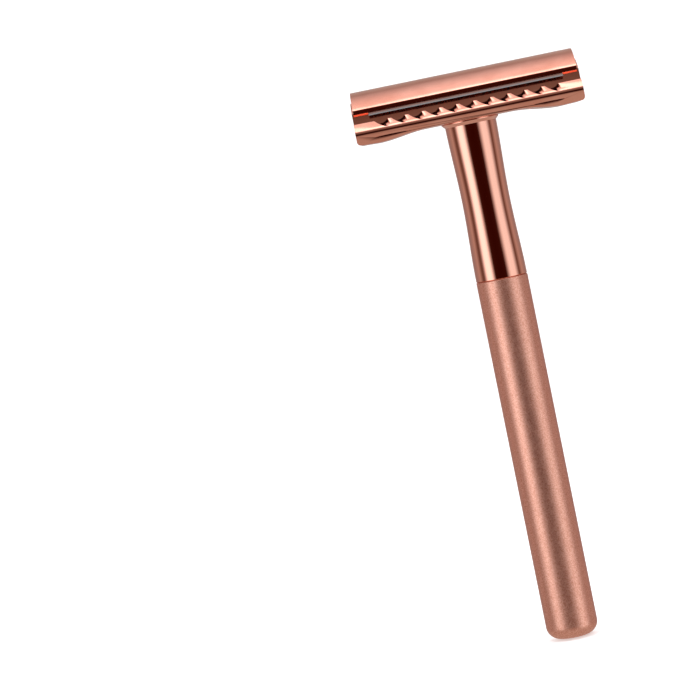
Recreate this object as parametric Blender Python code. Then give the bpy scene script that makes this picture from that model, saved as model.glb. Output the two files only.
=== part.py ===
"""Three-piece double-edge safety razor with a scalloped guard and a two-tone handle.

The handle stands on its rounded end along +Z. The blade's edges run along X.
Heights of the head's parts are measured from the seat, the top of the neck.
"""

import math

import bmesh
import bpy
from mathutils import Matrix, Vector

MM = 0.001

# Handle
GRIP_LENGTH = 70.5 * MM
GRIP_RADIUS = 5.0 * MM
GRIP_END_ROUNDING = 2.5 * MM
GRIP_BORE_DEPTH = 12.5 * MM
NECK_LENGTH = 31.0 * MM
NECK_RADIUS = 4.97 * MM
NECK_WAIST_RADIUS = 4.6 * MM
NECK_LIP_RADIUS = 5.55 * MM
NECK_LIP_LAND = 0.25 * MM
NECK_SOCKET_DEPTH = 12.5 * MM
NECK_LOWER_BORE_DEPTH = 9.0 * MM
NECK_STEPS = 14
EDGE_BREAK = 0.15 * MM
SEAT_Z = GRIP_LENGTH + NECK_LENGTH

# Clearances
REST_GAP = 0.05 * MM
PRESS_GAP = 0.1 * MM

# Threads: the head's screw and the stud inside the handle
PITCH = 0.8 * MM
SCREW_RADIUS = 2.45 * MM
SCREW_CORE_RADIUS = 2.0 * MM
THREAD_CLEARANCE = 0.1 * MM
THREAD_CREST = 0.05 * MM
THREAD_FLANK = math.radians(30)
THREAD_FADED = 0.15
THREAD_STEPS = 20
INSERT_RADIUS = 3.5 * MM
INSERT_LENGTH = 11.5 * MM
INSERT_CREST = 0.06 * MM
STUD_RADIUS = 2.95 * MM
STUD_CORE_RADIUS = 2.5 * MM
STUD_BORE_RADIUS = 3.1 * MM
STUD_LENGTH = 20.0 * MM
STUD_PITCH = 1.0 * MM
STUD_STEPS = 10

# Cap
CAP_LENGTH = 43.0 * MM
CAP_HALF_WIDTH = 9.6 * MM
CAP_CROWN = 9.5 * MM
CAP_EDGE_TOP = 5.9 * MM
CAP_EDGE_BOTTOM = 5.05 * MM
PIN_SPACING = 22.0 * MM
PIN_RADIUS = 1.5 * MM
PIN_TIP = 1.2 * MM
PIN_ROUNDING = 0.45 * MM
PIN_STEPS = 32
SCREW_TOP = 8.7 * MM
SCREW_THREAD_TOP = 4.0 * MM
SCREW_TIP = -9.2 * MM

# Blade
BLADE_LENGTH = 43.0 * MM
BLADE_WIDTH = 22.0 * MM
BLADE_THICKNESS = 0.1 * MM
BLADE_RADIUS = 18.5 * MM
BLADE_BEVEL = 0.35 * MM
BLADE_EDGE_LENGTH = 37.3 * MM
BLADE_TAB_WIDTH = 13.0 * MM
BLADE_SLOT_LENGTH = 31.0 * MM
BLADE_SLOT_WIDTH = 2.2 * MM
BLADE_SCREW_HOLE_RADIUS = 2.85 * MM
BLADE_PIN_HOLE_RADIUS = 1.85 * MM

# Base plate
PLATE_LENGTH = 43.6 * MM
PLATFORM_HALF_WIDTH = 8.7 * MM
TROUGH_FLOOR = 1.6 * MM
TROUGH_INNER = 9.3 * MM
TROUGH_OUTER = 10.45 * MM
TOOTH_TIP = (11.05 * MM, 3.35 * MM)
BAR_SHOULDER = (13.08 * MM, 1.63 * MM)
BAR_SHOULDER_ROUNDING = 1.1 * MM
TOOTH_ROUNDING = 0.12 * MM
TROUGH_ROUNDINGS = (0.45 * MM, 0.35 * MM)
FLANK_FOOT = 12.1 * MM
FLANK_FOOT_Z = -2.0 * MM
WING_START = 8.5 * MM
WING_LOWEST = 17.8 * MM
WING_DEPTH = 0.9 * MM
WING_END_DEPTH = 0.78 * MM
WING_CORNER = 0.7 * MM
WING_CORNER_END = -0.4
WING_STEPS = 13
WING_CORNER_STEPS = 6
SCALLOP_COUNT = 11
SCALLOP_PITCH = 3.27 * MM
SCALLOP_RADIUS = 1.3 * MM
SCALLOP_FLOOR = (2.66 * MM, 1.95 * MM)
SCALLOP_RUN = (10.9 * MM, 12.7 * MM)
SCALLOP_SKEW = 1.0 * MM
SCALLOP_OVERRUN = (1.0 * MM, 2.0 * MM)
SCALLOP_STEPS = 32
SCALLOP_TURN = 0.03
CREASE_CENTRE = 15.0 * MM
CREASE_LENGTH = 6.6 * MM
CREASE_HEIGHT = 0.2 * MM
CREASE_Z = 0.2 * MM
CREASE_FLOOR = 12.35 * MM
CREASE_CUT = 2.0 * MM
SCREW_HOLE_RADIUS = 2.8 * MM
PIN_HOLE_RADIUS = 1.8 * MM

HOLE_CUT = (-5.0 * MM, 12.0 * MM)
HOLE_STEPS = 32
THROUGH_CUT = 60.0 * MM
ROUND_STEPS = 60
BUSH_STEPS = 48
ARC_STEPS = 20
SMOOTH_BELOW = math.radians(35)


def metal(name, colour, roughness):
    """A bare or plated metal as one Principled material."""
    made = bpy.data.materials.new(name)
    made.use_nodes = True
    shader = made.node_tree.nodes["Principled BSDF"]
    shader.inputs["Base Color"].default_value = (*colour, 1.0)
    shader.inputs["Roughness"].default_value = roughness
    shader.inputs["Metallic"].default_value = 1.0
    return made


def as_object(name, shape, material=None):
    """Turns a bmesh into an object, shaded smooth with crisp edges."""
    bmesh.ops.recalc_face_normals(shape, faces=shape.faces)
    mesh = bpy.data.meshes.new(name)
    shape.to_mesh(mesh)
    shape.free()
    mesh.shade_smooth()
    mesh.set_sharp_from_angle(angle=SMOOTH_BELOW)
    made = bpy.data.objects.new(name, mesh)
    bpy.context.collection.objects.link(made)
    if material:
        mesh.materials.append(material)
    return made


def as_cutter(name, shape):
    """An object that only cuts or joins: drawn as a wire and never rendered."""
    made = as_object(name, shape)
    made.hide_render = True
    made.display_type = "WIRE"
    return made


def boolean(target, tool, operation="DIFFERENCE"):
    """Cuts the tool from the target, or joins it on."""
    modifier = target.modifiers.new(tool.name, "BOOLEAN")
    modifier.operation = operation
    modifier.solver = "EXACT"
    modifier.object = tool


def turned(profile, steps=ROUND_STEPS):
    """A solid of revolution about Z from (radius, height) points, closed or from axis to axis."""
    shape = bmesh.new()
    points = [shape.verts.new((radius, 0.0, height)) for radius, height in profile]
    for start, end in zip(points, points[1:]):
        shape.edges.new((start, end))
    if profile[0][0] > 0.0:
        shape.edges.new((points[-1], points[0]))
    bmesh.ops.spin(
        shape, geom=shape.verts[:] + shape.edges[:], axis=(0.0, 0.0, 1.0), cent=(0.0, 0.0, 0.0),
        angle=math.tau, steps=steps, use_merge=True)
    bmesh.ops.remove_doubles(shape, verts=shape.verts, dist=1e-7)
    return shape


def extruded(outline, depth, place):
    """A prism from a flat outline, centred on the outline's plane; place maps (u, v, w) to 3-D."""
    shape = bmesh.new()
    face = shape.faces.new([shape.verts.new(place(u, v, -depth / 2)) for u, v in outline])
    swept = bmesh.ops.extrude_face_region(shape, geom=[face])
    moved = [item for item in swept["geom"] if isinstance(item, bmesh.types.BMVert)]
    shift = Vector(place(0.0, 0.0, depth)) - Vector(place(0.0, 0.0, 0.0))
    bmesh.ops.translate(shape, vec=shift, verts=moved)
    return shape


def along_x(u, v, w):
    """Sections in the YZ plane, swept along X."""
    return (w, u, v)


def along_y(u, v, w):
    """Outlines in the XZ plane, swept along Y."""
    return (u, w, v)


def along_z(u, v, w):
    """Outlines in the XY plane, swept along Z."""
    return (u, v, w)


def arc(centre, radius, start, end, steps=ARC_STEPS):
    """Points on a circle between two angles in radians, ends included."""
    angles = [start + (end - start) * step / steps for step in range(steps + 1)]
    return [(centre[0] + radius * math.cos(a), centre[1] + radius * math.sin(a)) for a in angles]


def filleted(corners, steps=5):
    """An open outline from (u, v, rounding) corners, each rounded corner drawn as an arc."""
    points = []
    for index, (u, v, rounding) in enumerate(corners):
        if rounding == 0.0 or index in (0, len(corners) - 1):
            points.append((u, v))
            continue
        corner = Vector((u, v))
        back = (Vector(corners[index - 1][:2]) - corner).normalized()
        ahead = (Vector(corners[index + 1][:2]) - corner).normalized()
        half = back.angle(ahead) / 2
        centre = corner + (back + ahead).normalized() * rounding / math.sin(half)
        first = corner + back * rounding / math.tan(half) - centre
        last = corner + ahead * rounding / math.tan(half) - centre
        turn = first.angle_signed(last)
        for step in range(steps + 1):
            swung = Matrix.Rotation(-turn * step / steps, 2) @ first
            points.append(tuple(centre + swung))
    return points


def arched(half_width, radius, crown, steps=ARC_STEPS):
    """An arch's points from -half_width to +half_width, its crown at the given height."""
    spread = math.asin(half_width / radius)
    return arc((0.0, crown - radius), radius, math.pi / 2 + spread, math.pi / 2 - spread, 2 * steps)


def thread_ridge(crest_radius, root_radius, crest_half_width, bottom, turns, pitch, steps):
    """A right-handed 60 degree thread's ridge, sunk below the core and fading out at both ends."""
    shape = bmesh.new()
    root_half_width = crest_half_width + (crest_radius - root_radius) * math.tan(THREAD_FLANK)
    count = turns * steps
    fade_steps = steps // 2
    previous = None
    for step in range(count + 1):
        turn = math.tau * step / steps
        height = bottom + pitch * step / steps
        fade = min(1.0, step / fade_steps, (count - step) / fade_steps)
        crest = root_radius + (crest_radius - root_radius) * (THREAD_FADED + (1.0 - THREAD_FADED) * fade)
        ring = []
        for radius, offset in (
                (root_radius, -root_half_width), (crest, -crest_half_width),
                (crest, crest_half_width), (root_radius, root_half_width)):
            point = (radius * math.cos(turn), radius * math.sin(turn), height + offset)
            ring.append(shape.verts.new(point))
        if previous:
            for side in range(4):
                following = (side + 1) % 4
                shape.faces.new((previous[side], previous[following], ring[following], ring[side]))
        else:
            shape.faces.new(ring)
        previous = ring
    shape.faces.new(previous)
    return shape


def slanted_scallop(centre_x):
    """A round groove's cutter across the front bar, sinking and leaning to +X on its way out."""
    inner = Vector((centre_x - SCALLOP_SKEW / 2, -SCALLOP_RUN[0], SCALLOP_FLOOR[0] + SCALLOP_RADIUS))
    outer = Vector((centre_x + SCALLOP_SKEW / 2, -SCALLOP_RUN[1], SCALLOP_FLOOR[1] + SCALLOP_RADIUS))
    direction = (outer - inner).normalized()
    start = inner - direction * SCALLOP_OVERRUN[0]
    end = outer + direction * SCALLOP_OVERRUN[1]
    shape = bmesh.new()
    bmesh.ops.create_cone(
        shape, cap_ends=True, segments=SCALLOP_STEPS, radius1=SCALLOP_RADIUS, radius2=SCALLOP_RADIUS,
        depth=(end - start).length)
    aimed = direction.to_track_quat("Z", "Y").to_matrix().to_4x4()
    turned_a_little = Matrix.Rotation(SCALLOP_TURN, 4, "Z")
    placed = Matrix.Translation((start + end) / 2) @ aimed @ turned_a_little
    bmesh.ops.transform(shape, matrix=placed, verts=shape.verts)
    return shape


def joined(shapes):
    """Gathers separate bmesh bodies into one."""
    whole = bmesh.new()
    for shape in shapes:
        mesh = bpy.data.meshes.new("gathered")
        shape.to_mesh(mesh)
        shape.free()
        whole.from_mesh(mesh)
        bpy.data.meshes.remove(mesh)
    return whole


def turned_round(shape):
    """The same body and a copy of it half a turn round Z."""
    copied = shape.copy()
    bmesh.ops.rotate(copied, matrix=Matrix.Rotation(math.pi, 3, "Z"), verts=copied.verts)
    return [shape, copied]


def make_grip(material):
    """Solid bar with a rounded end and a plain bore for the joining stud."""
    centre = (GRIP_RADIUS - GRIP_END_ROUNDING, GRIP_END_ROUNDING)
    profile = [(0.0, 0.0)]
    profile += arc(centre, GRIP_END_ROUNDING, -math.pi / 2, 0.0, 10)
    profile += [
        (GRIP_RADIUS, GRIP_LENGTH - EDGE_BREAK),
        (GRIP_RADIUS - EDGE_BREAK, GRIP_LENGTH),
        (STUD_BORE_RADIUS, GRIP_LENGTH),
        (STUD_BORE_RADIUS, GRIP_LENGTH - GRIP_BORE_DEPTH),
        (0.0, GRIP_LENGTH - GRIP_BORE_DEPTH - STUD_BORE_RADIUS / 2)]
    return as_object("grip", turned(profile), material)


def neck_radius(height):
    """The waisted neck's radius at a height above its lower end: a shallow cosine."""
    swell = (1.0 + math.cos(math.tau * height / NECK_LENGTH)) / 2
    return NECK_WAIST_RADIUS + (NECK_RADIUS - NECK_WAIST_RADIUS) * swell


def make_neck(material):
    """Waisted sleeve with a lip under the head, bored for the insert and for the stud."""
    foot = REST_GAP + EDGE_BREAK
    lip_foot = NECK_LENGTH - NECK_LIP_LAND - (NECK_LIP_RADIUS - NECK_RADIUS)
    socket_radius = INSERT_RADIUS + PRESS_GAP
    profile = [
        (0.0, NECK_LOWER_BORE_DEPTH),
        (STUD_BORE_RADIUS, NECK_LOWER_BORE_DEPTH),
        (STUD_BORE_RADIUS, REST_GAP),
        (NECK_RADIUS - EDGE_BREAK, REST_GAP)]
    for step in range(NECK_STEPS + 1):
        height = foot + (lip_foot - foot) * step / NECK_STEPS
        profile.append((neck_radius(height), height))
    profile += [
        (NECK_LIP_RADIUS, NECK_LENGTH - NECK_LIP_LAND),
        (NECK_LIP_RADIUS, NECK_LENGTH),
        (socket_radius, NECK_LENGTH),
        (socket_radius, NECK_LENGTH - NECK_SOCKET_DEPTH),
        (0.0, NECK_LENGTH - NECK_SOCKET_DEPTH)]
    made = as_object("neck", turned(profile), material)
    made.location.z = GRIP_LENGTH
    return made


def make_thread_insert(material):
    """Tapped brass bush in the neck's socket, a running fit round the cap's screw."""
    bore = SCREW_CORE_RADIUS + THREAD_CLEARANCE
    mouth = SCREW_RADIUS + THREAD_CLEARANCE
    top = -REST_GAP
    bottom = top - INSERT_LENGTH
    profile = [
        (bore, bottom),
        (INSERT_RADIUS - EDGE_BREAK, bottom),
        (INSERT_RADIUS, bottom + EDGE_BREAK),
        (INSERT_RADIUS, top - EDGE_BREAK),
        (INSERT_RADIUS - EDGE_BREAK, top),
        (mouth, top),
        (bore, top - (mouth - bore))]
    made = as_object("thread_insert", turned(profile, BUSH_STEPS), material)
    made.location.z = SEAT_Z
    turns = math.ceil(INSERT_LENGTH / PITCH) + 1
    ridge = thread_ridge(
        mouth, SCREW_CORE_RADIUS, INSERT_CREST, -(turns - 1) * PITCH, turns, PITCH, THREAD_STEPS)
    groove = as_cutter("thread_insert_groove", ridge)
    groove.location.z = SEAT_Z
    boolean(made, groove)
    return made


def make_handle_stud(material):
    """Threaded stud that holds the neck and the grip together."""
    low = -STUD_LENGTH / 2
    profile = [
        (0.0, low), (STUD_CORE_RADIUS - 2 * EDGE_BREAK, low), (STUD_CORE_RADIUS, low + 2 * EDGE_BREAK),
        (STUD_CORE_RADIUS, -low - 2 * EDGE_BREAK), (STUD_CORE_RADIUS - 2 * EDGE_BREAK, -low), (0.0, -low)]
    made = as_object("handle_stud", turned(profile, 4 * STUD_STEPS), material)
    turns = round(STUD_LENGTH / STUD_PITCH) - 2
    ridge = thread_ridge(
        STUD_RADIUS, STUD_CORE_RADIUS - THREAD_CLEARANCE, THREAD_CREST, low + STUD_PITCH, turns,
        STUD_PITCH, STUD_STEPS)
    thread = as_cutter("handle_stud_thread", ridge)
    for item in (made, thread):
        item.location.z = GRIP_LENGTH + (NECK_LOWER_BORE_DEPTH - GRIP_BORE_DEPTH) / 2
    boolean(made, thread, "UNION")
    return made


def lower_outline():
    """The plate's underside along X: flat at the seat, dropping to a wing at each end."""
    points = []
    for step in range(WING_STEPS + 1):
        share = step / WING_STEPS
        drop = (1.0 - math.cos(math.pi * share)) / 2
        points.append((WING_START + (WING_LOWEST - WING_START) * share, -WING_DEPTH * drop))
    half = PLATE_LENGTH / 2
    centre = (half - WING_CORNER, WING_CORNER - WING_END_DEPTH)
    points += arc(centre, WING_CORNER, -math.pi / 2, WING_CORNER_END, WING_CORNER_STEPS)
    points.append((half + WING_CORNER / 2, WING_CORNER))
    return points


def make_base_plate(material):
    """Arched platform, two troughs and two scalloped bars, over a winged underside."""
    crown = blade_crown() - BLADE_THICKNESS - REST_GAP
    radius = BLADE_RADIUS - BLADE_THICKNESS - REST_GAP
    platform = arched(PLATFORM_HALF_WIDTH, radius, crown)
    bar = filleted([
        (*platform[-1], 0.0),
        (TROUGH_INNER, TROUGH_FLOOR, TROUGH_ROUNDINGS[0]),
        (TROUGH_OUTER, TROUGH_FLOOR, TROUGH_ROUNDINGS[1]),
        (*TOOTH_TIP, TOOTH_ROUNDING),
        (*BAR_SHOULDER, BAR_SHOULDER_ROUNDING),
        (FLANK_FOOT, FLANK_FOOT_Z, 0.0)])
    mirrored = [(-u, v) for u, v in reversed(bar)]
    outline = mirrored[:-1] + platform + bar[1:]
    shape = extruded(outline, PLATE_LENGTH, along_x)
    made = as_object("base_plate", shape, material)

    half = lower_outline()
    under = [(-u, v) for u, v in reversed(half)] + half
    far = THROUGH_CUT / 2
    deep = 2 * FLANK_FOOT_Z
    frame = [(far, under[-1][1]), (far, deep), (-far, deep), (-far, under[0][1])]
    under_cutter = as_cutter("base_plate_underside", extruded(under + frame, THROUGH_CUT, along_y))
    first = -(SCALLOP_COUNT - 1) / 2 * SCALLOP_PITCH
    grooves = []
    for index in range(SCALLOP_COUNT):
        grooves += turned_round(slanted_scallop(first + index * SCALLOP_PITCH))
    scallops = as_cutter("base_plate_scallops", joined(grooves))
    holes = [turned_hole(SCREW_HOLE_RADIUS, 0.0)]
    for side in (-1, 1):
        holes.append(turned_hole(PIN_HOLE_RADIUS, side * PIN_SPACING / 2))
    holes = as_cutter("base_plate_holes", joined(holes))
    creases = []
    for side in (-1, 1):
        creases += turned_round(crease_cutter(side * CREASE_CENTRE))
    creases = as_cutter("base_plate_creases", joined(creases))
    for cutter in (under_cutter, scallops, holes, creases):
        cutter.location.z = SEAT_Z
        boolean(made, cutter)
    made.location.z = SEAT_Z
    return made


def crease_cutter(centre_x):
    """A shallow lens-shaped crease in the flank above a wing."""
    half = CREASE_LENGTH / 2
    radius = (half * half + (CREASE_HEIGHT / 2) ** 2) / CREASE_HEIGHT
    spread = math.asin(half / radius)
    rise = radius - CREASE_HEIGHT / 2
    upper = arc((0.0, -rise), radius, math.pi / 2 + spread, math.pi / 2 - spread, 10)
    lower = arc((0.0, rise), radius, -math.pi / 2 + spread, -math.pi / 2 - spread, 10)
    outline = [(centre_x + u, CREASE_Z + v) for u, v in upper + lower[1:-1]]
    shape = extruded(outline, CREASE_CUT, along_y)
    bmesh.ops.translate(shape, vec=(0.0, -CREASE_FLOOR - CREASE_CUT / 2, 0.0), verts=shape.verts)
    return shape


def turned_hole(radius, x):
    """An upright round cutter that passes right through the head."""
    low, high = HOLE_CUT
    shape = turned([(0.0, low), (radius, low), (radius, high), (0.0, high)], HOLE_STEPS)
    half_step = Matrix.Rotation(math.pi / HOLE_STEPS, 4, "Z")
    bmesh.ops.transform(shape, matrix=Matrix.Translation((x, 0.0, 0.0)) @ half_step, verts=shape.verts)
    return shape


def blade_crown():
    """Height of the loaded blade's upper face at the middle, where the cap's rims hold it down."""
    rise = BLADE_RADIUS - math.sqrt(BLADE_RADIUS ** 2 - CAP_HALF_WIDTH ** 2)
    return CAP_EDGE_BOTTOM - REST_GAP + rise


def make_blade(material):
    """Thin steel blade bent over the platform, slotted, notched at the corners and ground to an edge."""
    crown = blade_crown()
    centre = (0.0, crown - BLADE_RADIUS)
    full = BLADE_WIDTH / 2 / BLADE_RADIUS
    ground = (BLADE_WIDTH / 2 - BLADE_BEVEL) / BLADE_RADIUS
    up = math.pi / 2
    upper = arc(centre, BLADE_RADIUS, up + ground, up - ground, 2 * ARC_STEPS)
    lower = arc(centre, BLADE_RADIUS - BLADE_THICKNESS, up - ground, up + ground, 2 * ARC_STEPS)
    middle = BLADE_RADIUS - BLADE_THICKNESS / 2
    left_edge, right_edge = arc(centre, middle, up + full, up - full, 1)
    outline = upper + [right_edge] + lower + [left_edge]
    made = as_object("blade", extruded(outline, BLADE_LENGTH, along_x), material)

    half_length = BLADE_SLOT_LENGTH / 2
    half_width = BLADE_SLOT_WIDTH / 2
    slot = [(-half_length, -half_width), (half_length, -half_width),
            (half_length, half_width), (-half_length, half_width)]
    tools = [as_cutter("blade_slot", extruded(slot, THROUGH_CUT, along_z))]
    tools.append(as_cutter("blade_screw_hole", turned_hole(BLADE_SCREW_HOLE_RADIUS, 0.0)))
    for side, name in ((-1, "left"), (1, "right")):
        pin_hole = turned_hole(BLADE_PIN_HOLE_RADIUS, side * PIN_SPACING / 2)
        tools.append(as_cutter("blade_pin_hole_" + name, pin_hole))
        slot_end = turned_hole(PIN_RADIUS, side * half_length)
        tools.append(as_cutter("blade_slot_end_" + name, slot_end))
    notches = []
    for side in (-1, 1):
        for flank in (-1, 1):
            edge = side * BLADE_EDGE_LENGTH / 2
            beyond = side * BLADE_LENGTH
            tab = flank * BLADE_TAB_WIDTH / 2
            outside = flank * BLADE_WIDTH
            corners = [(edge, tab), (beyond, tab), (beyond, outside), (edge, outside)]
            notches.append(extruded(corners, THROUGH_CUT, along_z))
    tools.append(as_cutter("blade_notches", joined(notches)))
    for tool in tools:
        tool.location.z = SEAT_Z
        boolean(made, tool)
    made.location.z = SEAT_Z
    return made


def make_cap(material):
    """Arched cap with two locating pins and a blind hole for the screw's shank."""
    rise = CAP_CROWN - CAP_EDGE_TOP
    top_radius = (CAP_HALF_WIDTH ** 2 + rise ** 2) / (2 * rise)
    top = arched(CAP_HALF_WIDTH, top_radius, CAP_CROWN)
    under = arched(CAP_HALF_WIDTH, BLADE_RADIUS + REST_GAP, blade_crown() + REST_GAP)
    made = as_object("cap", extruded(top + under[::-1], CAP_LENGTH, along_x), material)
    made.location.z = SEAT_Z
    for side, name in ((-1, "left"), (1, "right")):
        profile = [
            (0.0, PIN_TIP), (PIN_RADIUS - PIN_ROUNDING, PIN_TIP), (PIN_RADIUS, PIN_TIP + PIN_ROUNDING),
            (PIN_RADIUS, SCREW_TOP), (0.0, SCREW_TOP)]
        shape = turned(profile, PIN_STEPS)
        bmesh.ops.translate(shape, vec=(side * PIN_SPACING / 2, 0.0, 0.0), verts=shape.verts)
        pin = as_cutter("cap_pin_" + name, shape)
        pin.location.z = SEAT_Z
        boolean(made, pin, "UNION")
    top_of_hole = SCREW_TOP + PRESS_GAP
    hole_radius = SCREW_RADIUS + PRESS_GAP
    profile = [(0.0, 0.0), (hole_radius, 0.0), (hole_radius, top_of_hole), (0.0, top_of_hole)]
    hole = as_cutter("cap_screw_hole", turned(profile, BUSH_STEPS))
    hole.location.z = SEAT_Z
    boolean(made, hole)
    return made


def make_cap_screw(material):
    """The cap's screw: a plain shank fixed in the cap and a right-handed thread below it."""
    shank_foot = SCREW_THREAD_TOP + EDGE_BREAK
    turns = int((SCREW_THREAD_TOP - SCREW_TIP) / PITCH) - 1
    bottom = math.ceil(SCREW_TIP / PITCH) * PITCH
    profile = [
        (0.0, SCREW_TIP), (SCREW_CORE_RADIUS - 2 * EDGE_BREAK, SCREW_TIP),
        (SCREW_CORE_RADIUS, SCREW_TIP + 2 * EDGE_BREAK), (SCREW_CORE_RADIUS, shank_foot),
        (SCREW_RADIUS, shank_foot + EDGE_BREAK), (SCREW_RADIUS, SCREW_TOP), (0.0, SCREW_TOP)]
    made = as_object("cap_screw", turned(profile, BUSH_STEPS), material)
    ridge = thread_ridge(
        SCREW_RADIUS, SCREW_CORE_RADIUS - THREAD_CLEARANCE, THREAD_CREST, bottom, turns, PITCH,
        THREAD_STEPS)
    thread = as_cutter("cap_screw_thread", ridge)
    for item in (made, thread):
        item.location.z = SEAT_Z
    boolean(made, thread, "UNION")
    return made


def head_axis():
    """The axis that the head turns about and rises along."""
    empty = bpy.data.objects.new("head_axis", None)
    empty.empty_display_size = 5 * MM
    bpy.context.collection.objects.link(empty)
    return empty


for old in list(bpy.data.objects):
    bpy.data.objects.remove(old, do_unlink=True)

satin_rose_gold = metal("satin_rose_gold", (0.78, 0.47, 0.37), 0.32)
blasted_rose_gold = metal("blasted_rose_gold", (0.76, 0.45, 0.35), 0.48)
polished_rose_gold = metal("polished_rose_gold", (0.80, 0.50, 0.40), 0.10)
brass = metal("brass", (0.72, 0.54, 0.26), 0.30)
steel = metal("blade_steel", (0.62, 0.62, 0.62), 0.20)

make_grip(blasted_rose_gold)
make_neck(polished_rose_gold)
make_thread_insert(brass)
make_handle_stud(steel)
axis = head_axis()
for piece in (
        make_base_plate(satin_rose_gold), make_blade(steel),
        make_cap(satin_rose_gold), make_cap_screw(brass)):
    piece.parent = axis
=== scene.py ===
import math

import bmesh
import bpy
from mathutils import Matrix, Vector


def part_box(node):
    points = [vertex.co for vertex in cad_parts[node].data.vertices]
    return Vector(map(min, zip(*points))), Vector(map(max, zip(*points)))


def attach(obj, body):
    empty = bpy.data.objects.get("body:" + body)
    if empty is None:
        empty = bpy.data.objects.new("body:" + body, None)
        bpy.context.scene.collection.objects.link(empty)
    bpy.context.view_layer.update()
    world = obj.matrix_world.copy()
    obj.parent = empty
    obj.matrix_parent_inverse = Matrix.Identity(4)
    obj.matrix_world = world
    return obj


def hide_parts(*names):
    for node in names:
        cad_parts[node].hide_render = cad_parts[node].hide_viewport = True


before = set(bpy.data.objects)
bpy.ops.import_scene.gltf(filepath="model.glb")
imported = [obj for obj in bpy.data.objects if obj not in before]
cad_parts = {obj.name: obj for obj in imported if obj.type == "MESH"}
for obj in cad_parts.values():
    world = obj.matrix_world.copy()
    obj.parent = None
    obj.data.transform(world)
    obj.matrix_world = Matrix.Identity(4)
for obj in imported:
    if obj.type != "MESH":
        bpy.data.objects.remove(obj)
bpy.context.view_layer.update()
mm = 0.001

# ---------------------------------------------------------------------------------------------
# Camera and studio. A long lens far in front, level with the head and rolled, as for a packshot.
# The razor stands on a pale sheet that curves up behind it, with a softbox overhead and at each side.
# ---------------------------------------------------------------------------------------------


def linear(code):
    """An sRGB hex colour as linear red, green and blue with full alpha."""
    values = [int(code[place:place + 2], 16) / 255 for place in (0, 2, 4)]
    return [v / 12.92 if v <= 0.04045 else ((v + 0.055) / 1.055) ** 2.4 for v in values] + [1.0]


def add_node(tree, kind, settings, links):
    """Adds one node: settings are properties or socket values, links join sockets to outputs."""
    made = tree.nodes.new("ShaderNode" + kind)
    for name, value in settings.items():
        if isinstance(name, int) or name in made.inputs:
            made.inputs[name].default_value = value
        else:
            setattr(made, name, value)
    for name, source in links.items():
        tree.links.new(source, made.inputs[name])
    return made


def start_piece(name):
    """Names the primitive just added, and sets it down with its place in its mesh."""
    piece = bpy.context.object
    piece.name = name
    piece.data.name = name
    bpy.ops.object.transform_apply(location=True, rotation=True, scale=True)
    return piece


def in_edit(piece, kind="FACE"):
    """Opens the piece for editing with nothing selected."""
    bpy.ops.object.select_all(action="DESELECT")
    piece.select_set(True)
    bpy.context.view_layer.objects.active = piece
    bpy.ops.object.mode_set(mode="EDIT")
    bpy.ops.mesh.select_mode(type=kind)
    bpy.ops.mesh.select_all(action="DESELECT")


def pick(piece, kind, test):
    """Selects the open piece's faces, edges or vertices whose middle passes the test."""
    bpy.ops.mesh.select_mode(type=kind)
    bpy.ops.mesh.select_all(action="DESELECT")
    shape = bmesh.from_edit_mesh(piece.data)
    items = {"FACE": shape.faces, "EDGE": shape.edges, "VERT": shape.verts}[kind]
    for item in items:
        if kind == "FACE":
            middle = item.calc_center_median()
        elif kind == "EDGE":
            middle = (item.verts[0].co + item.verts[1].co) / 2
        else:
            middle = item.co
        if test(middle, item):
            item.select_set(True)
    shape.select_flush_mode()
    bmesh.update_edit_mesh(piece.data)


smooth_below = math.radians(32)


def close_piece():
    """Ends editing, turns every face outwards and shades the round stretches smooth."""
    bpy.ops.mesh.select_all(action="SELECT")
    bpy.ops.mesh.normals_make_consistent(inside=False)
    bpy.ops.object.mode_set(mode="OBJECT")
    bpy.ops.object.shade_smooth_by_angle(angle=smooth_below)


camera_place = Vector((-10.5, -600.0, 96.4)) * mm
camera_heading = math.radians(2.14)
camera_drop = math.radians(2.98)
camera_roll = math.radians(-11.6)
camera_data = bpy.data.cameras.new("packshot_camera")
camera_data.lens = 165.6
camera_data.sensor_width = 36.0
camera_data.clip_start = 0.01
camera = bpy.data.objects.new("packshot_camera", camera_data)
camera.matrix_world = (
    Matrix.Translation(camera_place)
    @ Matrix.Rotation(camera_heading, 4, "Z")
    @ Matrix.Rotation(math.pi / 2 - camera_drop, 4, "X")
    @ Matrix.Rotation(camera_roll, 4, "Z"))
bpy.context.collection.objects.link(camera)
bpy.context.scene.camera = camera
bpy.context.scene.view_settings.view_transform = "Standard"

# One pale sheet: a floor that curves up into a backdrop well behind the razor. It glows faintly,
# as a lit acrylic table does, and is kept out of reflections, which see the room instead.
floor_height = -0.2 * mm
table_size = 6.0
sweep_start = 0.6
sweep_radius = 0.5
sweep_steps = 16
backdrop_rise = 1.5
bpy.ops.object.select_all(action="DESELECT")
bpy.ops.mesh.primitive_plane_add(
    size=table_size, location=(0.0, sweep_start - table_size / 2, floor_height))
backdrop = start_piece("studio_backdrop")
in_edit(backdrop)
pick(backdrop, "EDGE", lambda middle, edge: middle.y > sweep_start - mm)
for step in range(sweep_steps):
    turn, next_turn = [math.pi / 2 * count / sweep_steps for count in (step, step + 1)]
    ahead = sweep_radius * (math.sin(next_turn) - math.sin(turn))
    rise = sweep_radius * (math.cos(turn) - math.cos(next_turn))
    bpy.ops.mesh.extrude_region_move(TRANSFORM_OT_translate={"value": (0.0, ahead, rise)})
bpy.ops.mesh.extrude_region_move(TRANSFORM_OT_translate={"value": (0.0, 0.0, backdrop_rise)})
close_piece()
paint = bpy.data.materials.new("glowing_white_acrylic")
paint.use_nodes = True
paint_shader = paint.node_tree.nodes["Principled BSDF"]
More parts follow.
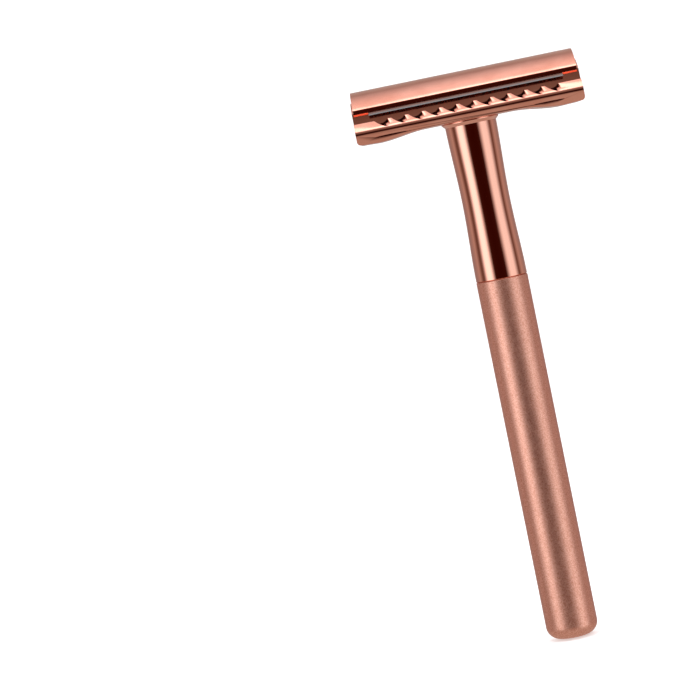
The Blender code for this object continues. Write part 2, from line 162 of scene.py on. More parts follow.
paint_shader.inputs["Base Color"].default_value = linear("F4F4F4")
paint_shader.inputs["Roughness"].default_value = 0.9
paint_shader.inputs["Emission Color"].default_value = linear("FFFFFF")
paint_shader.inputs["Emission Strength"].default_value = 0.42
backdrop.data.materials.append(paint)
backdrop.visible_glossy = False

# The room in the reflections: a dark warm red ahead of the razor, dim sides and a paler back,
# brighter towards the ceiling and with an even, pale floor below. The camera itself sees white.
wall_tip = 0.25
wall_tones = (
    (0.0, (0.036, 0.004, 0.001)), (0.045, (0.045, 0.008, 0.004)), (0.08, (0.20, 0.14, 0.12)),
    (0.12, (0.28, 0.24, 0.22)), (0.50, (0.17, 0.10, 0.08)), (0.66, (0.55, 0.46, 0.43)),
    (0.90, (0.34, 0.29, 0.29)), (1.0, (0.50, 0.42, 0.38)))
ceiling_glow = (1.45, 1.38, 1.42, 1.0)
ceiling_from, ceiling_full = 0.62, 1.02
floor_glow = (0.56, 0.50, 0.46, 1.0)
floor_from, floor_full = -0.16, -0.50
world = bpy.data.worlds.new("studio_walls")
world.use_nodes = True
bpy.context.scene.world = world
tree = world.node_tree
tree.nodes.clear()
direction = add_node(tree, "TexCoord", {}, {})
parts = add_node(tree, "SeparateXYZ", {}, {"Vector": direction.outputs["Generated"]})
raised = add_node(tree, "Math", {"operation": "MULTIPLY", 1: wall_tip}, {0: parts.outputs["Z"]})
tipped = add_node(tree, "Math", {"operation": "ADD"}, {0: parts.outputs["Y"], 1: raised.outputs["Value"]})
depth = add_node(tree, "MapRange", {"From Min": -1.0, "From Max": 1.0}, {"Value": tipped.outputs["Value"]})
walls = add_node(tree, "ValToRGB", {}, {"Fac": depth.outputs["Result"]})
ready_stops = len(walls.color_ramp.elements)
for index, (position, colour) in enumerate(wall_tones):
    if index < ready_stops:
        stop = walls.color_ramp.elements[index]
        stop.position = position
    else:
        stop = walls.color_ramp.elements.new(position)
    stop.color = (*colour, 1.0)
above = add_node(
    tree, "MapRange", {"From Min": ceiling_from, "From Max": ceiling_full}, {"Value": parts.outputs["Z"]})
below = add_node(
    tree, "MapRange", {"From Min": floor_from, "From Max": floor_full}, {"Value": parts.outputs["Z"]})
with_ceiling = add_node(
    tree, "MixRGB", {"Color2": ceiling_glow},
    {"Fac": above.outputs["Result"], "Color1": walls.outputs["Color"]})
room = add_node(
    tree, "MixRGB", {"Color2": floor_glow},
    {"Fac": below.outputs["Result"], "Color1": with_ceiling.outputs["Color"]})
seen = add_node(tree, "LightPath", {}, {})
white = add_node(
    tree, "MixRGB", {"Color2": (1.0, 1.0, 1.0, 1.0)},
    {"Fac": seen.outputs["Is Camera Ray"], "Color1": room.outputs["Color"]})
glow = add_node(tree, "Background", {"Strength": 1.0}, {"Color": white.outputs["Color"]})
add_node(tree, "OutputWorld", {}, {"Surface": glow.outputs["Background"]})

# The softboxes: place, the point each faces, width and height, radiance. They fade at both sides.
softboxes = (
    ("left_softbox", (-0.521, -0.389, 0.25), (0.0, 0.0, 0.25), (0.66, 0.9), 1.75),
    ("right_softbox", (0.541, -0.360, 0.40), (0.0, 0.0, 0.40), (0.76, 1.5), 1.15),
    ("top_softbox", (0.0, -0.135, 0.85), (0.0, 0.0, 0.09), (0.8, 0.60), 1.55))
cool_daylight = (0.86, 1.0, 1.08)
dim_side = (0.08, 0.07, 0.07, 1.0)
bright_middle = (1.0, 1.0, 1.0, 1.0)
for name, place, aim, size, radiance in softboxes:
    lamp = bpy.data.lights.new(name, "AREA")
    lamp.shape = "RECTANGLE"
    lamp.size, lamp.size_y = size
    lamp.energy = radiance * math.pi * size[0] * size[1]
    lamp.color = cool_daylight
    lamp.use_nodes = True
    lamp_tree = lamp.node_tree
    across = add_node(lamp_tree, "NewGeometry", {}, {})
    spot = add_node(lamp_tree, "SeparateXYZ", {}, {"Vector": across.outputs["Parametric"]})
    fade = add_node(lamp_tree, "ValToRGB", {}, {"Fac": spot.outputs["X"]})
    fade.color_ramp.interpolation = "EASE"
    for side_stop in fade.color_ramp.elements:
        side_stop.color = dim_side
    for position in (0.4, 0.6):
        fade.color_ramp.elements.new(position).color = bright_middle
    lamp_tree.links.new(fade.outputs["Color"], lamp_tree.nodes["Emission"].inputs["Color"])
    softbox = bpy.data.objects.new(name, lamp)
    softbox.location = place
    softbox.rotation_euler = (Vector(place) - Vector(aim)).to_track_quat("Z", "Y").to_euler()
    bpy.context.collection.objects.link(softbox)

# ---------------------------------------------------------------------------------------------
# Grip. A straight metal bar with a rounded end, bored at the top for the joining stud.
# It is bead blasted before plating, which leaves an even, fine-grained matt skin.
# ---------------------------------------------------------------------------------------------


def plating(name, hex_colour, roughness):
    """An empty metal material, its Principled shader set for a plated finish."""
    made = bpy.data.materials.new(name)
    made.use_nodes = True
    shader = made.node_tree.nodes["Principled BSDF"]
    shader.inputs["Base Color"].default_value = linear(hex_colour)
    shader.inputs["Metallic"].default_value = 1.0
    shader.inputs["Roughness"].default_value = roughness
    return made, made.node_tree, shader


touching = 0.01 * mm
facing_up = 0.99


def flat_rim(edge, height):
    """True for an edge lying level at a height."""
    return all(abs(vert.co.z - height) < touching for vert in edge.verts)


grip_low, grip_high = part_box("grip")
grip_radius = grip_high.x
grip_length = grip_high.z - grip_low.z
grip_end_rounding = 2.5 * mm
edge_break = 0.15 * mm
stud_bore_radius = 3.1 * mm
stud_bore_depth = 12.5 * mm
round_sides = 160

bpy.ops.object.select_all(action="DESELECT")
bpy.ops.mesh.primitive_cylinder_add(
    vertices=round_sides, radius=grip_radius, depth=grip_length,
    location=(0.0, 0.0, grip_low.z + grip_length / 2))
grip = start_piece("grip_blasted")
in_edit(grip)
pick(grip, "EDGE", lambda middle, edge: flat_rim(edge, grip_low.z))
bpy.ops.mesh.bevel(offset=grip_end_rounding, segments=14, affect="EDGES")
pick(grip, "EDGE", lambda middle, edge: flat_rim(edge, grip_high.z))
bpy.ops.mesh.bevel(offset=edge_break, segments=3, affect="EDGES")
pick(grip, "FACE", lambda middle, face: face.normal.z > facing_up and middle.z > grip_high.z - touching)
bpy.ops.mesh.inset(thickness=grip_radius - edge_break - stud_bore_radius)
bpy.ops.mesh.extrude_region_move(TRANSFORM_OT_translate={"value": (0.0, 0.0, -stud_bore_depth)})
close_piece()

# Bead-blasted rose-gold plating: tiny dents scatter the light and break the tone into fine grain.
# Real dents are about 0.1 mm wide; they are drawn at 0.22 mm so that the grain still shows.
dent_width = 0.22 * mm
dent_depth = 0.03 * mm
mottle_width = 1.6 * mm
blasted, tree, shader = plating("bead_blasted_rose_gold", "E6A28C", 0.42)
place = add_node(tree, "TexCoord", {}, {})
grain = add_node(
    tree, "TexNoise", {"Scale": 1 / dent_width, "Detail": 3.0, "Roughness": 0.6},
    {"Vector": place.outputs["Object"]})
mottle = add_node(
    tree, "TexNoise", {"Scale": 1 / mottle_width, "Detail": 2.0}, {"Vector": place.outputs["Object"]})
tone = add_node(tree, "ValToRGB", {}, {"Fac": grain.outputs["Fac"]})
tone.color_ramp.elements[0].position = 0.32
tone.color_ramp.elements[0].color = linear("D98E77")
tone.color_ramp.elements[1].position = 0.68
tone.color_ramp.elements[1].color = linear("FFC4AE")
tree.links.new(tone.outputs["Color"], shader.inputs["Base Color"])
sheen_spread = add_node(
    tree, "MapRange", {"To Min": 0.36, "To Max": 0.48}, {"Value": mottle.outputs["Fac"]})
tree.links.new(sheen_spread.outputs["Result"], shader.inputs["Roughness"])
dents = add_node(
    tree, "Bump", {"Strength": 0.35, "Distance": dent_depth}, {"Height": grain.outputs["Fac"]})
tree.links.new(dents.outputs["Normal"], shader.inputs["Normal"])
grip.data.materials.append(blasted)
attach(grip, "handle")
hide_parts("grip")

# ---------------------------------------------------------------------------------------------
# Neck. A turned sleeve, slightly waisted, with a lip that carries the head and a socket inside.
# It is mirror polished before plating, so that it reflects the studio in sharp upright bands.
# ---------------------------------------------------------------------------------------------

neck_low, neck_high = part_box("neck")
neck_length = neck_high.z - grip_high.z
neck_radius = 4.97 * mm
waist_radius = 4.6 * mm
lip_radius = neck_high.x
lip_land = 0.25 * mm
lip_rounding = 0.05 * mm
lip_foot = neck_high.z - lip_land - (lip_radius - neck_radius)
socket_radius = 3.6 * mm
socket_depth = 12.5 * mm
stud_hole_top = grip_high.z + 9.0 * mm
neck_steps = 48


def waisted(height):
    """The neck's radius at a height: full at both ends and thinnest in the middle."""
    swell = (1.0 + math.cos(math.tau * (height - grip_high.z) / neck_length)) / 2
    return waist_radius + (neck_radius - waist_radius) * swell


def draw_rings(rings):
    """Extrudes the open piece's selected rim or face through (radius, height) rings in turn."""
    for (radius, height), (next_radius, next_height) in zip(rings, rings[1:]):
        rise = next_height - height
        bpy.ops.mesh.extrude_region_move(TRANSFORM_OT_translate={"value": (0.0, 0.0, rise)})
        factor = next_radius / radius
        bpy.ops.transform.resize(value=(factor, factor, 1.0), center_override=(0.0, 0.0, next_height))


waist_foot = neck_low.z + edge_break
rings = [(neck_radius - edge_break, neck_low.z)]
for step in range(neck_steps + 1):
    height = waist_foot + (lip_foot - waist_foot) * step / neck_steps
    rings.append((waisted(height), height))
rings += [(lip_radius, neck_high.z - lip_land), (lip_radius, neck_high.z)]
bpy.ops.object.select_all(action="DESELECT")
bpy.ops.mesh.primitive_circle_add(
    vertices=round_sides, radius=rings[0][0], fill_type="NGON", location=(0.0, 0.0, rings[0][1]))
neck = start_piece("neck_polished")
in_edit(neck)
bpy.ops.mesh.select_all(action="SELECT")
draw_rings(rings)
bpy.ops.mesh.inset(thickness=lip_radius - socket_radius)
bpy.ops.mesh.extrude_region_move(TRANSFORM_OT_translate={"value": (0.0, 0.0, -socket_depth)})
pick(neck, "FACE", lambda middle, face: (
    abs(face.normal.z) > facing_up and middle.z < neck_low.z + touching))
bpy.ops.mesh.inset(thickness=neck_radius - edge_break - stud_bore_radius)
bpy.ops.mesh.extrude_region_move(TRANSFORM_OT_translate={"value": (0.0, 0.0, stud_hole_top - neck_low.z)})
pick(neck, "EDGE", lambda middle, edge: any(
    flat_rim(edge, height) and middle.xy.length > lip_radius - lip_rounding
    for height in (neck_high.z, neck_high.z - lip_land)))
bpy.ops.mesh.bevel(offset=lip_rounding, segments=3, affect="EDGES")
close_piece()

# Mirror-polished rose-gold plating: almost no scatter, only a faint unevenness of the buffing.
buffing_width = 3.0 * mm
polished, tree, shader = plating("mirror_polished_rose_gold", "ECAA94", 0.07)
place = add_node(tree, "TexCoord", {}, {})
buffing = add_node(
    tree, "TexNoise", {"Scale": 1 / buffing_width, "Detail": 2.0}, {"Vector": place.outputs["Object"]})
haze = add_node(tree, "MapRange", {"To Min": 0.05, "To Max": 0.10}, {"Value": buffing.outputs["Fac"]})
tree.links.new(haze.outputs["Result"], shader.inputs["Roughness"])
neck.data.materials.append(polished)
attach(neck, "handle")
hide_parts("neck")

# ---------------------------------------------------------------------------------------------
# Base plate. A zinc casting: an arched platform under the blade, a trough along each side of it
# and a guard bar outside each trough, its sloping face cut by slanted round scallops.
# ---------------------------------------------------------------------------------------------

plate_low, plate_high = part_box("base_plate")
seat = neck_high.z
plate_length = plate_high.x - plate_low.x
platform_half_width = 8.7 * mm
platform_radius = 18.35 * mm
trough_floor = seat + 1.6 * mm
trough_inner = 9.3 * mm
trough_outer = 10.45 * mm
tooth_tip = Vector((11.05 * mm, seat + 3.35 * mm))
bar_shoulder = Vector((13.08 * mm, seat + 1.63 * mm))
flank_foot = Vector((12.1 * mm, seat - 2.0 * mm))
trough_inner_rounding = 0.38 * mm
trough_outer_rounding = 0.25 * mm
tooth_rounding = 0.19 * mm
shoulder_rounding = 0.71 * mm
weld = 0.0005 * mm


def arch(half_width, radius, crown, count):
    """Points across an arch, from -half_width to +half_width, with its crown at a height."""
    spread = math.asin(half_width / radius)
    turns = [spread * (2 * step / count - 1) for step in range(count + 1)]
    return [Vector((radius * math.sin(turn), crown - radius + radius * math.cos(turn))) for turn in turns]


def draw_line(name, start, moves):
    """Starts a piece as a single point and extrudes it by one move after another."""
    bpy.ops.object.select_all(action="DESELECT")
    bpy.ops.mesh.primitive_plane_add(size=mm, location=start)
    piece = start_piece(name)
    in_edit(piece, "VERT")
    bpy.ops.mesh.select_all(action="SELECT")
    bpy.ops.mesh.merge(type="CENTER")
    for move in moves:
        bpy.ops.mesh.extrude_region_move(TRANSFORM_OT_translate={"value": move})
    return piece


def draw_section(name, outline, length):
    """A bar along X: the outline is drawn corner by corner across Y and Z, filled and extruded."""
    steps = [after - here for here, after in zip(outline, outline[1:] + outline[:1])]
    start = (-length / 2, outline[0].x, outline[0].y)
    piece = draw_line(name, start, [(0.0, step.x, step.y) for step in steps])
    bpy.ops.mesh.select_all(action="SELECT")
    bpy.ops.mesh.remove_doubles(threshold=weld)
    bpy.ops.mesh.select_all(action="SELECT")
    bpy.ops.mesh.edge_face_add()
    bpy.ops.mesh.extrude_region_move(TRANSFORM_OT_translate={"value": (length, 0.0, 0.0)})
    return piece


def long_edges(piece, corners):
    """Selects the open bar's edges along X that stand at any of the (y, z) corners."""
    def stands_there(middle, edge):
        spread = abs(edge.verts[0].co.x - edge.verts[1].co.x)
        here = Vector((middle.y, middle.z))
        return spread > mm and any((here - corner).length < 2 * touching for corner in corners)
    pick(piece, "EDGE", stands_there)


def both_sides(corner):
    """A (y, z) corner and its mirror image on the other side."""
    return (corner, Vector((-corner.x, corner.y)))


def apply_all(piece):
    """Applies the piece's modifiers in order."""
    bpy.ops.object.select_all(action="DESELECT")
    piece.select_set(True)
    bpy.context.view_layer.objects.active = piece
    for modifier in list(piece.modifiers):
        bpy.ops.object.modifier_apply(modifier=modifier.name)


def carve(piece, tool, operation="DIFFERENCE"):
    """Cuts the tool out of the piece, or joins it on, and throws the tool away."""
    modifier = piece.modifiers.new(tool.name, "BOOLEAN")
    modifier.operation = operation
    modifier.solver = "EXACT"
    modifier.object = tool
    apply_all(piece)
    bpy.data.objects.remove(tool, do_unlink=True)


def drill(piece, radius, x, low, high, sides=64):
    """Drills an upright round hole into the piece between two heights."""
    bpy.ops.object.select_all(action="DESELECT")
    bpy.ops.mesh.primitive_cylinder_add(
        vertices=sides, radius=radius, depth=high - low, location=(x, 0.0, (low + high) / 2))
    carve(piece, start_piece("drill"))


def soften(piece, width):
    """Rounds every crisp edge a little, as polishing does before plating."""
    modifier = piece.modifiers.new("soft_edges", "BEVEL")
    modifier.width = width
    modifier.segments = 2
    modifier.limit_method = "ANGLE"
    modifier.angle_limit = smooth_below
    modifier.miter_outer = "MITER_ARC"
    apply_all(piece)


platform = arch(platform_half_width, platform_radius, plate_high.z, count=64)
right_bar = [
    Vector((trough_inner, trough_floor)), Vector((trough_outer, trough_floor)),
    tooth_tip, bar_shoulder, flank_foot]
left_bar = [Vector((-corner.x, corner.y)) for corner in reversed(right_bar)]
base_plate = draw_section("base_plate_cast", left_bar + platform + right_bar, plate_length)
for corner, offset, segments in (
        (Vector((trough_inner, trough_floor)), trough_inner_rounding, 6),
        (Vector((trough_outer, trough_floor)), trough_outer_rounding, 5),
        (tooth_tip, tooth_rounding, 6),
        (bar_shoulder, shoulder_rounding, 12)):
    long_edges(base_plate, both_sides(corner))
    bpy.ops.mesh.bevel(offset=offset, segments=segments, affect="EDGES")
close_piece()

# The underside is flat at the neck's seat and drops in a soft curve to a wing at each end.
wing_start = 8.5 * mm
wing_lowest = 17.8 * mm
wing_depth = 0.9 * mm
wing_end_depth = 0.78 * mm
wing_corner = 0.7 * mm
wing_steps = 32
corner_end_turn = -0.4
corner_steps = 8
tool_margin = 3 * mm
half_length = plate_length / 2
under = []
for step in range(wing_steps + 1):
    share = step / wing_steps
    drop = wing_depth * (1.0 - math.cos(math.pi * share)) / 2
    under.append(Vector((wing_start + (wing_lowest - wing_start) * share, seat - drop)))
corner_centre = Vector((half_length - wing_corner, seat + wing_corner - wing_end_depth))
for step in range(corner_steps + 1):
    turn = -math.pi / 2 + (math.pi / 2 + corner_end_turn) * step / corner_steps
    under.append(corner_centre + wing_corner * Vector((math.cos(turn), math.sin(turn))))
under.append(Vector((half_length + wing_corner / 2, seat + wing_corner)))
far = half_length + tool_margin
under.append(Vector((far, seat + wing_corner)))
under.append(Vector((far, seat - 2 * tool_margin)))
under = [Vector((-corner.x, corner.y)) for corner in reversed(under)] + under
underside = draw_section("underside_tool", under, 4 * bar_shoulder.x)
bpy.ops.mesh.select_all(action="SELECT")
bpy.ops.transform.rotate(value=math.pi / 2, orient_axis="Z", center_override=(0.0, 0.0, 0.0))
close_piece()
carve(base_plate, underside)

# Each bar has eleven scallops. A milling cutter's path sinks and leans to one side on its way out.
scallop_count = 11
scallop_pitch = 3.27 * mm
scallop_radius = 1.3 * mm
scallop_lean = 1.0 * mm
scallop_inner, scallop_inner_floor = 10.9 * mm, seat + 2.66 * mm
scallop_outer, scallop_outer_floor = 12.7 * mm, seat + 1.95 * mm
inner_overrun = 1 * mm
outer_overrun = 2 * mm
inner_end = Vector((-scallop_lean / 2, -scallop_inner, scallop_inner_floor))
outer_end = Vector((scallop_lean / 2, -scallop_outer, scallop_outer_floor))
path = outer_end - inner_end
heading = path.normalized()
cutter_length = path.length + inner_overrun + outer_overrun
cutter_middle = inner_end + heading * (cutter_length / 2 - inner_overrun)
cutter_middle += Vector((0.0, 0.0, scallop_radius))
for side in (0, 1):
    for index in range(scallop_count):
        shift = (index - (scallop_count - 1) / 2) * scallop_pitch
        bpy.ops.object.select_all(action="DESELECT")
        bpy.ops.mesh.primitive_cylinder_add(
            vertices=64, radius=scallop_radius, depth=cutter_length,
            location=cutter_middle + Vector((shift, 0.0, 0.0)),
            rotation=heading.to_track_quat("Z", "Y").to_euler())
        scallop = start_piece("scallop_tool")
        scallop.data.transform(Matrix.Rotation(math.pi * side, 4, "Z"))
        carve(base_plate, scallop)

screw_hole_radius = 2.8 * mm
pin_hole_radius = 1.8 * mm
pin_spacing = 22.0 * mm
through = 15 * mm
for radius, x in (
        (screw_hole_radius, 0.0),
        (pin_hole_radius, -pin_spacing / 2),
        (pin_hole_radius, pin_spacing / 2)):
    drill(base_plate, radius, x, seat - through, seat + through)

# A shallow lens-shaped crease runs along each flank above the wing.
crease_centre = 15.0 * mm
crease_length = 6.6 * mm
crease_height = 0.2 * mm
crease_middle = seat + 0.2 * mm
crease_floor = 12.35 * mm
crease_tool_depth = 1.0 * mm
for side in (-1, 1):
    for flank in (-1, 1):
        bpy.ops.object.select_all(action="DESELECT")
        bpy.ops.mesh.primitive_uv_sphere_add(
            segments=48, ring_count=24, radius=0.5,
            location=(side * crease_centre, flank * (crease_floor + crease_tool_depth / 2), crease_middle),
            scale=(crease_length, crease_tool_depth, crease_height))
        carve(base_plate, start_piece("crease_tool"))
plate_edge_softness = 0.06 * mm
soften(base_plate, plate_edge_softness)
bpy.ops.object.shade_smooth_by_angle(angle=smooth_below)

# Satin rose-gold plating on a tumbled casting: a soft sheen with a faint ripple in the metal.
ripple_width = 0.8 * mm
ripple_depth = 0.02 * mm
cloud_width = 5.0 * mm
satin, tree, shader = plating("satin_rose_gold", "E8A690", 0.28)
place = add_node(tree, "TexCoord", {}, {})
ripple = add_node(
    tree, "TexNoise", {"Scale": 1 / ripple_width, "Detail": 3.0}, {"Vector": place.outputs["Object"]})
cloud = add_node(
    tree, "TexNoise", {"Scale": 1 / cloud_width, "Detail": 2.0}, {"Vector": place.outputs["Object"]})
tone = add_node(tree, "ValToRGB", {}, {"Fac": cloud.outputs["Fac"]})
tone.color_ramp.elements[0].position = 0.3
tone.color_ramp.elements[0].color = linear("DE9780")
tone.color_ramp.elements[1].position = 0.7
tone.color_ramp.elements[1].color = linear("EAA892")
tree.links.new(tone.outputs["Color"], shader.inputs["Base Color"])
haze = add_node(tree, "MapRange", {"To Min": 0.10, "To Max": 0.16}, {"Value": ripple.outputs["Fac"]})
tree.links.new(haze.outputs["Result"], shader.inputs["Roughness"])
skin = add_node(
    tree, "Bump", {"Strength": 0.15, "Distance": ripple_depth}, {"Height": ripple.outputs["Fac"]})
tree.links.new(skin.outputs["Normal"], shader.inputs["Normal"])
base_plate.data.materials.append(satin)
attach(base_plate, "base_plate")
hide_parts("base_plate")

# ---------------------------------------------------------------------------------------------
# Blade. A strip of hardened steel 0.1 mm thick, pierced by a long slot and notched at the corners.
# The head bends it over the platform, and both long edges are ground to a bevel.
# ---------------------------------------------------------------------------------------------

blade_low, blade_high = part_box("blade")
blade_length = blade_high.x - blade_low.x
blade_width = 22.0 * mm
blade_thickness = 0.1 * mm
blade_radius = 18.5 * mm
ground_width = 0.35 * mm
edge_length = 37.3 * mm
tab_width = 13.0 * mm
slot_length = 31.0 * mm
slot_width = 2.2 * mm
slot_end_radius = 1.5 * mm
blade_screw_hole_radius = 2.85 * mm
blade_pin_hole_radius = 1.85 * mm
punch_reach = 20 * mm
blade_steps = 64
centre_height = blade_high.z - blade_radius
ground_from = (blade_width / 2 - ground_width) / blade_radius
ground_to = blade_width / 2 / blade_radius


def bent(radius, turn):
    """A (y, z) point on the blade's bend at a radius and an angle from upright."""
    return Vector((radius * math.sin(turn), centre_height + radius * math.cos(turn)))


spread = [ground_from * (2 * step / blade_steps - 1) for step in range(blade_steps + 1)]
outline = [bent(blade_radius, turn) for turn in spread]
outline.append(bent(blade_radius - blade_thickness / 2, ground_to))
outline += [bent(blade_radius - blade_thickness, turn) for turn in reversed(spread)]
outline.append(bent(blade_radius - blade_thickness / 2, -ground_to))
blade = draw_section("blade_ground", outline, blade_length)
close_piece()


def punch(x, y, length, width):
    """Punches an upright rectangle through the blade."""
    bpy.ops.object.select_all(action="DESELECT")
    bpy.ops.mesh.primitive_cube_add(size=1.0, location=(x, y, seat), scale=(length, width, 2 * punch_reach))
    carve(blade, start_piece("punch"))


punch(0.0, 0.0, slot_length, slot_width)
for radius, x in (
        (blade_screw_hole_radius, 0.0),
        (blade_pin_hole_radius, -pin_spacing / 2),
        (blade_pin_hole_radius, pin_spacing / 2),
        (slot_end_radius, -slot_length / 2),
        (slot_end_radius, slot_length / 2)):
    drill(blade, radius, x, seat - punch_reach, seat + punch_reach, sides=48)
notch_overrun = 1 * mm
notch_length = (blade_length - edge_length) / 2 + notch_overrun
notch_width = (blade_width - tab_width) / 2 + notch_overrun
for side in (-1, 1):
    for flank in (-1, 1):
        punch(side * (edge_length + notch_length) / 2, flank * (tab_width + notch_width) / 2,
              notch_length, notch_width)
ground_edge_angle = math.radians(20)
bpy.ops.object.shade_smooth_by_angle(angle=ground_edge_angle)

# Ground stainless steel: fine scratches run along the edges and stretch the reflections.
scratch_length = 6.0 * mm
scratch_width = 0.05 * mm
scratch_depth = 0.005 * mm
steel, tree, shader = plating("ground_blade_steel", "66605E", 0.2)
place = add_node(tree, "TexCoord", {}, {})
drawn = add_node(
    tree, "Mapping", {"Scale": (1 / scratch_length, 1 / scratch_width, 1 / scratch_width)},
    {"Vector": place.outputs["Object"]})
scratches = add_node(tree, "TexNoise", {"Scale": 1.0, "Detail": 2.0}, {"Vector": drawn.outputs["Vector"]})
haze = add_node(tree, "MapRange", {"To Min": 0.14, "To Max": 0.34}, {"Value": scratches.outputs["Fac"]})
tree.links.new(haze.outputs["Result"], shader.inputs["Roughness"])
lines = add_node(
    tree, "Bump", {"Strength": 0.1, "Distance": scratch_depth}, {"Height": scratches.outputs["Fac"]})
tree.links.new(lines.outputs["Normal"], shader.inputs["Normal"])
blade.data.materials.append(steel)
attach(blade, "blade")
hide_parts("blade")

# ---------------------------------------------------------------------------------------------
# Cap. A zinc casting with an arched top and thin rims that clamp the blade, and two pins below
# that pass through the blade and the plate to keep all three in line.
# ---------------------------------------------------------------------------------------------

cap_low, cap_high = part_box("cap")
cap_length = cap_high.x - cap_low.x
cap_half_width = cap_high.y
cap_rim_top = seat + 5.9 * mm
cap_rise = cap_high.z - cap_rim_top
cap_top_radius = (cap_half_width ** 2 + cap_rise ** 2) / (2 * cap_rise)
clamp_gap = 0.05 * mm
cap_under_radius = blade_radius + clamp_gap
cap_under_crown = blade_high.z + clamp_gap
pin_radius = 1.5 * mm
pin_top = seat + 8.7 * mm
pin_rounding = 0.45 * mm
rim_rounding = 0.12 * mm
cap_edge_softness = 0.08 * mm
cap_screw_hole_radius = 2.55 * mm
cap_screw_hole_top = seat + 8.8 * mm

top = arch(cap_half_width, cap_top_radius, cap_high.z, count=96)
below = arch(cap_half_width, cap_under_radius, cap_under_crown, count=64)
cap = draw_section("cap_cast", top + below[::-1], cap_length)
long_edges(cap, both_sides(top[-1]))
bpy.ops.mesh.bevel(offset=rim_rounding, segments=4, affect="EDGES")
close_piece()
for side in (-1, 1):
    bpy.ops.object.select_all(action="DESELECT")
    bpy.ops.mesh.primitive_cylinder_add(
        vertices=64, radius=pin_radius, depth=pin_top - cap_low.z,
        location=(side * pin_spacing / 2, 0.0, (pin_top + cap_low.z) / 2))
    pin = start_piece("pin")
    in_edit(pin)
    pick(pin, "EDGE", lambda middle, edge: flat_rim(edge, cap_low.z))
    bpy.ops.mesh.bevel(offset=pin_rounding, segments=5, affect="EDGES")
    close_piece()
    carve(cap, pin, "UNION")
drill(cap, cap_screw_hole_radius, 0.0, seat, cap_screw_hole_top)
soften(cap, cap_edge_softness)
bpy.ops.object.shade_smooth_by_angle(angle=smooth_below)
cap.data.materials.append(satin)
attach(cap, "cap")
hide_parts("cap")

# ---------------------------------------------------------------------------------------------
# Cap screw, thread insert and handle stud. Machined brass and steel, out of sight when closed:
# the screw is fixed in the cap, the insert is pressed into the neck, the stud joins neck and grip.
# ---------------------------------------------------------------------------------------------

pitch = 0.8 * mm
screw_low, screw_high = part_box("cap_screw")
screw_radius = 2.45 * mm
screw_core = 2.0 * mm
screw_crest_width = 0.1 * mm
thread_clearance = 0.1 * mm
thread_flank = math.radians(30)
steps_per_turn = 40
shank_foot = seat + 4.15 * mm
shank_overlap = 0.2 * mm
small_sides = 80


def threaded(name, core, crest, crest_width, low, high):
    """A right-handed 60 degree thread: one pitch's profile at +X screwed up and trimmed at both ends."""
    rise = (crest - core) * math.tan(thread_flank)
    start = seat + math.floor((low - seat) / pitch - 1) * pitch
    profile = [
        (core, -pitch / 2), (core, -crest_width / 2 - rise), (crest, -crest_width / 2),
        (crest, crest_width / 2), (core, crest_width / 2 + rise), (core, pitch / 2)]
    moves = [
        (next_radius - radius, 0.0, next_offset - offset)
        for (radius, offset), (next_radius, next_offset) in zip(profile, profile[1:])]
    piece = draw_line(name, (core, 0.0, start - pitch / 2), moves)
    bpy.ops.object.mode_set(mode="OBJECT")
    screw = piece.modifiers.new("thread", "SCREW")
    screw.screw_offset = pitch
    screw.iterations = int((high - start) / pitch) + 3
    screw.steps = screw.render_steps = steps_per_turn
    screw.use_merge_vertices = True
    screw.merge_threshold = weld
    apply_all(piece)
    in_edit(piece)
    bpy.ops.mesh.select_all(action="SELECT")
    bpy.ops.mesh.remove_doubles(threshold=weld)
    for height, outward in ((low, -1.0), (high, 1.0)):
        bpy.ops.mesh.select_all(action="SELECT")
        bpy.ops.mesh.bisect(
            plane_co=(0.0, 0.0, height), plane_no=(0.0, 0.0, outward), use_fill=True, clear_outer=True,
            threshold=weld)
    return piece


cap_screw = threaded(
    "cap_screw_brass", screw_core, screw_radius, screw_crest_width, screw_low.z, shank_foot)
close_piece()
bpy.ops.object.select_all(action="DESELECT")
bpy.ops.mesh.primitive_cylinder_add(
    vertices=small_sides, radius=screw_radius, depth=screw_high.z - shank_foot + shank_overlap,
    location=(0.0, 0.0, (screw_high.z + shank_foot - shank_overlap) / 2))
carve(cap_screw, start_piece("shank"), "UNION")
bpy.ops.object.shade_smooth_by_angle(angle=smooth_below)

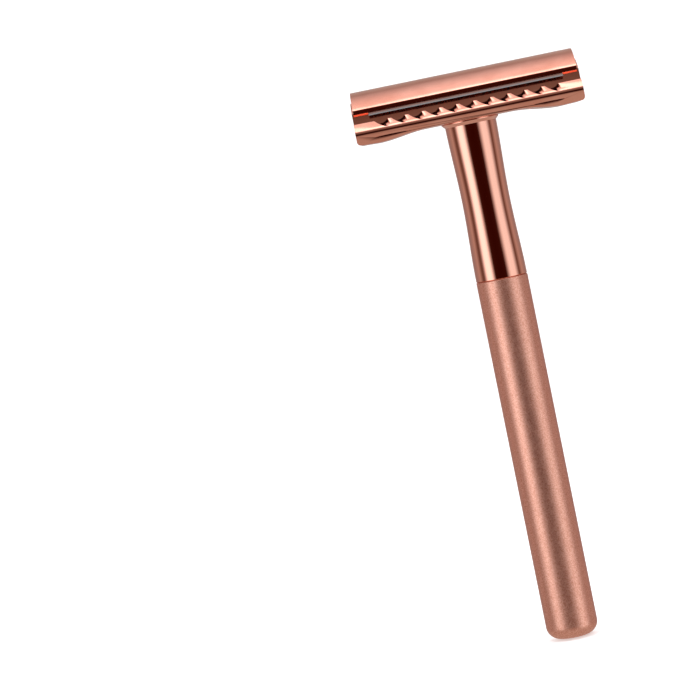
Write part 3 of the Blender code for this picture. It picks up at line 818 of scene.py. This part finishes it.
insert_low, insert_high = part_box("thread_insert")
insert_radius = insert_high.x
bore_radius = screw_core + thread_clearance
tap_crest_width = 0.12 * mm
tap_overrun = 1 * mm
bpy.ops.object.select_all(action="DESELECT")
bpy.ops.mesh.primitive_cylinder_add(
    vertices=small_sides, radius=insert_radius, depth=insert_high.z - insert_low.z,
    location=(0.0, 0.0, (insert_low.z + insert_high.z) / 2))
thread_insert = start_piece("thread_insert_brass")
in_edit(thread_insert)
pick(thread_insert, "EDGE", lambda middle, edge: flat_rim(edge, insert_high.z))
bpy.ops.mesh.bevel(offset=edge_break, segments=2, affect="EDGES")
close_piece()
tap = threaded(
    "tap", bore_radius, screw_radius + thread_clearance, tap_crest_width,
    insert_low.z - tap_overrun, insert_high.z + tap_overrun)
close_piece()
carve(thread_insert, tap)
bpy.ops.object.shade_smooth_by_angle(angle=smooth_below)

tool_ring_width = 0.12 * mm
tool_ring_length = 4.0 * mm


def turned_metal(name, hex_colour, roughness, smoothest, roughest):
    """A bare turned metal, ringed round its axis by the fine marks that the cutting tool leaves."""
    made, tree, shader = plating(name, hex_colour, roughness)
    place = add_node(tree, "TexCoord", {}, {})
    squeezed = add_node(
        tree, "Mapping", {"Scale": (1 / tool_ring_length, 1 / tool_ring_length, 1 / tool_ring_width)},
        {"Vector": place.outputs["Object"]})
    tool_rings = add_node(
        tree, "TexNoise", {"Scale": 1.0, "Detail": 2.0}, {"Vector": squeezed.outputs["Vector"]})
    haze = add_node(
        tree, "MapRange", {"To Min": smoothest, "To Max": roughest}, {"Value": tool_rings.outputs["Fac"]})
    tree.links.new(haze.outputs["Result"], shader.inputs["Roughness"])
    return made


# Machined brass: bright yellow metal.
brass = turned_metal("machined_brass", "D9B36A", 0.26, 0.18, 0.36)
for piece, body, node_name in (
        (cap_screw, "cap", "cap_screw"), (thread_insert, "handle", "thread_insert")):
    piece.data.materials.append(brass)
    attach(piece, body)
    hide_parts(node_name)

# Turned steel of the handle stud: zinc plated, bluish grey.
stud_steel = turned_metal("zinc_plated_steel", "A3A6AA", 0.30, 0.22, 0.40)
stud_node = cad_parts["handle_stud"]
stud_node.data.materials.clear()
stud_node.data.materials.append(stud_steel)
